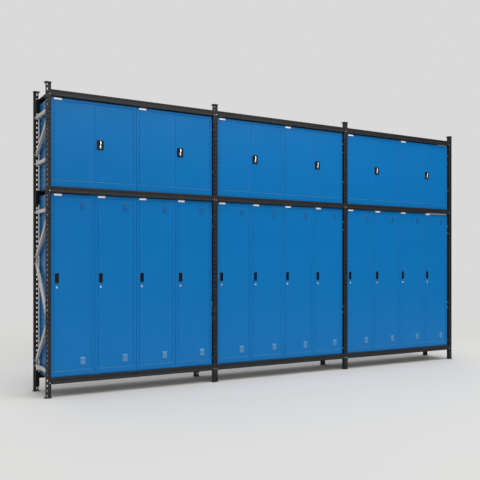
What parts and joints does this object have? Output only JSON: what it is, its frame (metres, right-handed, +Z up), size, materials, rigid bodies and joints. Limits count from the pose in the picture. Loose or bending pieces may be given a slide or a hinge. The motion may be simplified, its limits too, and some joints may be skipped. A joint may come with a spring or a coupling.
{
  "type": "locker cabinet",
  "caption": "Bank of tall steel lockers with double-door cupboards above, standing in a braced post-and-beam rack; every door is hinged and each cupboard has a turning handle.",
  "frame": {"origin": "on the floor, under the middle of the bank", "axes": "+X along the bank to the right as seen from the front, +Y from the doors to the back, +Z up"},
  "size_m": [5.738, 0.516, 3.15],
  "materials": {
    "black_steel": "black powder coat, satin",
    "blue_steel": "blue powder coat, satin",
    "chrome": "polished chrome plate"
  },
  "bodies": {
    "rack": {"upright_frame_1": "black_steel", "upright_frame_2": "black_steel", "upright_frame_3": "black_steel", "upright_frame_4": "black_steel", "bottom_shelf_bay_1": "black_steel", "bottom_shelf_bay_2": "black_steel", "bottom_shelf_bay_3": "black_steel", "middle_shelf_bay_1": "black_steel", "middle_shelf_bay_2": "black_steel", "middle_shelf_bay_3": "black_steel", "top_beam_frame": "black_steel", "top_deck": "black_steel", "locker_body_01": "blue_steel", "locker_body_02": "blue_steel", "locker_body_03": "blue_steel", "locker_body_04": "blue_steel", "locker_body_05": "blue_steel", "locker_body_06": "blue_steel", "locker_body_07": "blue_steel", "locker_body_08": "blue_steel", "locker_body_09": "blue_steel", "locker_body_10": "blue_steel", "locker_body_11": "blue_steel", "locker_body_12": "blue_steel", "cupboard_body_1": "blue_steel", "cupboard_body_2": "blue_steel", "cupboard_body_3": "blue_steel", "cupboard_body_4": "blue_steel", "cupboard_body_5": "blue_steel", "cupboard_body_6": "blue_steel"},
    "locker_door_01": {"locker_door_01": "blue_steel"},
    "locker_door_02": {"locker_door_02": "blue_steel"},
    "locker_door_03": {"locker_door_03": "blue_steel"},
    "locker_door_04": {"locker_door_04": "blue_steel"},
    "locker_door_05": {"locker_door_05": "blue_steel"},
    "locker_door_06": {"locker_door_06": "blue_steel"},
    "locker_door_07": {"locker_door_07": "blue_steel"},
    "locker_door_08": {"locker_door_08": "blue_steel"},
    "locker_door_09": {"locker_door_09": "blue_steel"},
    "locker_door_10": {"locker_door_10": "blue_steel"},
    "locker_door_11": {"locker_door_11": "blue_steel"},
    "locker_door_12": {"locker_door_12": "blue_steel"},
    "cupboard_door_left_1": {"cupboard_door_left_1": "blue_steel"},
    "cupboard_door_right_1": {"cupboard_door_right_1": "blue_steel"},
    "cupboard_handle_1": {"cupboard_handle_1": "chrome"},
    "cupboard_door_left_2": {"cupboard_door_left_2": "blue_steel"},
    "cupboard_door_right_2": {"cupboard_door_right_2": "blue_steel"},
    "cupboard_handle_2": {"cupboard_handle_2": "chrome"},
    "cupboard_door_left_3": {"cupboard_door_left_3": "blue_steel"},
    "cupboard_door_right_3": {"cupboard_door_right_3": "blue_steel"},
    "cupboard_handle_3": {"cupboard_handle_3": "chrome"},
    "cupboard_door_left_4": {"cupboard_door_left_4": "blue_steel"},
    "cupboard_door_right_4": {"cupboard_door_right_4": "blue_steel"},
    "cupboard_handle_4": {"cupboard_handle_4": "chrome"},
    "cupboard_door_left_5": {"cupboard_door_left_5": "blue_steel"},
    "cupboard_door_right_5": {"cupboard_door_right_5": "blue_steel"},
    "cupboard_handle_5": {"cupboard_handle_5": "chrome"},
    "cupboard_door_left_6": {"cupboard_door_left_6": "blue_steel"},
    "cupboard_door_right_6": {"cupboard_door_right_6": "blue_steel"},
    "cupboard_handle_6": {"cupboard_handle_6": "chrome"}
  },
  "joints": [
    {"name": "locker_door_01_hinge", "type": "hinge", "parent": "rack", "child": "locker_door_01", "pos_m": [-2.37875, -0.222, 1.1], "axis": [0, 0, 1], "range_deg": [0, 105]},
    {"name": "locker_door_02_hinge", "type": "hinge", "parent": "rack", "child": "locker_door_02", "pos_m": [-1.92175, -0.222, 1.1], "axis": [0, 0, 1], "range_deg": [0, 105]},
    {"name": "locker_door_03_hinge", "type": "hinge", "parent": "rack", "child": "locker_door_03", "pos_m": [-1.46475, -0.222, 1.1], "axis": [0, 0, 1], "range_deg": [0, 105]},
    {"name": "locker_door_04_hinge", "type": "hinge", "parent": "rack", "child": "locker_door_04", "pos_m": [-1.00775, -0.222, 1.1], "axis": [0, 0, 1], "range_deg": [0, 105]},
    {"name": "locker_door_05_hinge", "type": "hinge", "parent": "rack", "child": "locker_door_05", "pos_m": [-0.48975, -0.222, 1.1], "axis": [0, 0, 1], "range_deg": [0, 105]},
    {"name": "locker_door_06_hinge", "type": "hinge", "parent": "rack", "child": "locker_door_06", "pos_m": [-0.03275, -0.222, 1.1], "axis": [0, 0, 1], "range_deg": [0, 105]},
    {"name": "locker_door_07_hinge", "type": "hinge", "parent": "rack", "child": "locker_door_07", "pos_m": [0.42425, -0.222, 1.1], "axis": [0, 0, 1], "range_deg": [0, 105]},
    {"name": "locker_door_08_hinge", "type": "hinge", "parent": "rack", "child": "locker_door_08", "pos_m": [0.88125, -0.222, 1.1], "axis": [0, 0, 1], "range_deg": [0, 105]},
    {"name": "locker_door_09_hinge", "type": "hinge", "parent": "rack", "child": "locker_door_09", "pos_m": [1.39925, -0.222, 1.1], "axis": [0, 0, 1], "range_deg": [0, 105]},
    {"name": "locker_door_10_hinge", "type": "hinge", "parent": "rack", "child": "locker_door_10", "pos_m": [1.85625, -0.222, 1.1], "axis": [0, 0, 1], "range_deg": [0, 105]},
    {"name": "locker_door_11_hinge", "type": "hinge", "parent": "rack", "child": "locker_door_11", "pos_m": [2.31325, -0.222, 1.1], "axis": [0, 0, 1], "range_deg": [0, 105]},
    {"name": "locker_door_12_hinge", "type": "hinge", "parent": "rack", "child": "locker_door_12", "pos_m": [2.77025, -0.222, 1.1], "axis": [0, 0, 1], "range_deg": [0, 105]},
    {"name": "cupboard_door_left_1_hinge", "type": "hinge", "parent": "rack", "child": "cupboard_door_left_1", "pos_m": [-2.77025, -0.222, 2.57], "axis": [0, 0, -1], "range_deg": [0, 90]},
    {"name": "cupboard_door_right_1_hinge", "type": "hinge", "parent": "rack", "child": "cupboard_door_right_1", "pos_m": [-1.92175, -0.222, 2.57], "axis": [0, 0, 1], "range_deg": [0, 90]},
    {"name": "cupboard_handle_1_turn", "type": "hinge", "parent": "cupboard_door_right_1", "child": "cupboard_handle_1", "pos_m": [-2.29025, -0.2263, 2.545], "axis": [0, 1, 0], "range_deg": [0, 90]},
    {"name": "cupboard_door_left_2_hinge", "type": "hinge", "parent": "rack", "child": "cupboard_door_left_2", "pos_m": [-1.85625, -0.222, 2.57], "axis": [0, 0, -1], "range_deg": [0, 90]},
    {"name": "cupboard_door_right_2_hinge", "type": "hinge", "parent": "rack", "child": "cupboard_door_right_2", "pos_m": [-1.00775, -0.222, 2.57], "axis": [0, 0, 1], "range_deg": [0, 90]},
    {"name": "cupboard_handle_2_turn", "type": "hinge", "parent": "cupboard_door_right_2", "child": "cupboard_handle_2", "pos_m": [-1.37625, -0.2263, 2.545], "axis": [0, 1, 0], "range_deg": [0, 90]},
    {"name": "cupboard_door_left_3_hinge", "type": "hinge", "parent": "rack", "child": "cupboard_door_left_3", "pos_m": [-0.88125, -0.222, 2.57], "axis": [0, 0, -1], "range_deg": [0, 90]},
    {"name": "cupboard_door_right_3_hinge", "type": "hinge", "parent": "rack", "child": "cupboard_door_right_3", "pos_m": [-0.03275, -0.222, 2.57], "axis": [0, 0, 1], "range_deg": [0, 90]},
    {"name": "cupboard_handle_3_turn", "type": "hinge", "parent": "cupboard_door_right_3", "child": "cupboard_handle_3", "pos_m": [-0.40125, -0.2263, 2.545], "axis": [0, 1, 0], "range_deg": [0, 90]},
    {"name": "cupboard_door_left_4_hinge", "type": "hinge", "parent": "rack", "child": "cupboard_door_left_4", "pos_m": [0.03275, -0.222, 2.57], "axis": [0, 0, -1], "range_deg": [0, 90]},
    {"name": "cupboard_door_right_4_hinge", "type": "hinge", "parent": "rack", "child": "cupboard_door_right_4", "pos_m": [0.88125, -0.222, 2.57], "axis": [0, 0, 1], "range_deg": [0, 90]},
    {"name": "cupboard_handle_4_turn", "type": "hinge", "parent": "cupboard_door_right_4", "child": "cupboard_handle_4", "pos_m": [0.51275, -0.2263, 2.545], "axis": [0, 1, 0], "range_deg": [0, 90]},
    {"name": "cupboard_door_left_5_hinge", "type": "hinge", "parent": "rack", "child": "cupboard_door_left_5", "pos_m": [1.00775, -0.222, 2.57], "axis": [0, 0, -1], "range_deg": [0, 90]},
    {"name": "cupboard_door_right_5_hinge", "type": "hinge", "parent": "rack", "child": "cupboard_door_right_5", "pos_m": [1.85625, -0.222, 2.57], "axis": [0, 0, 1], "range_deg": [0, 90]},
    {"name": "cupboard_handle_5_turn", "type": "hinge", "parent": "cupboard_door_right_5", "child": "cupboard_handle_5", "pos_m": [1.48775, -0.2263, 2.545], "axis": [0, 1, 0], "range_deg": [0, 90]},
    {"name": "cupboard_door_left_6_hinge", "type": "hinge", "parent": "rack", "child": "cupboard_door_left_6", "pos_m": [1.92175, -0.222, 2.57], "axis": [0, 0, -1], "range_deg": [0, 90]},
    {"name": "cupboard_door_right_6_hinge", "type": "hinge", "parent": "rack", "child": "cupboard_door_right_6", "pos_m": [2.77025, -0.222, 2.57], "axis": [0, 0, 1], "range_deg": [0, 90]},
    {"name": "cupboard_handle_6_turn", "type": "hinge", "parent": "cupboard_door_right_6", "child": "cupboard_handle_6", "pos_m": [2.40175, -0.2263, 2.545], "axis": [0, 1, 0], "range_deg": [0, 90]}
  ]
}
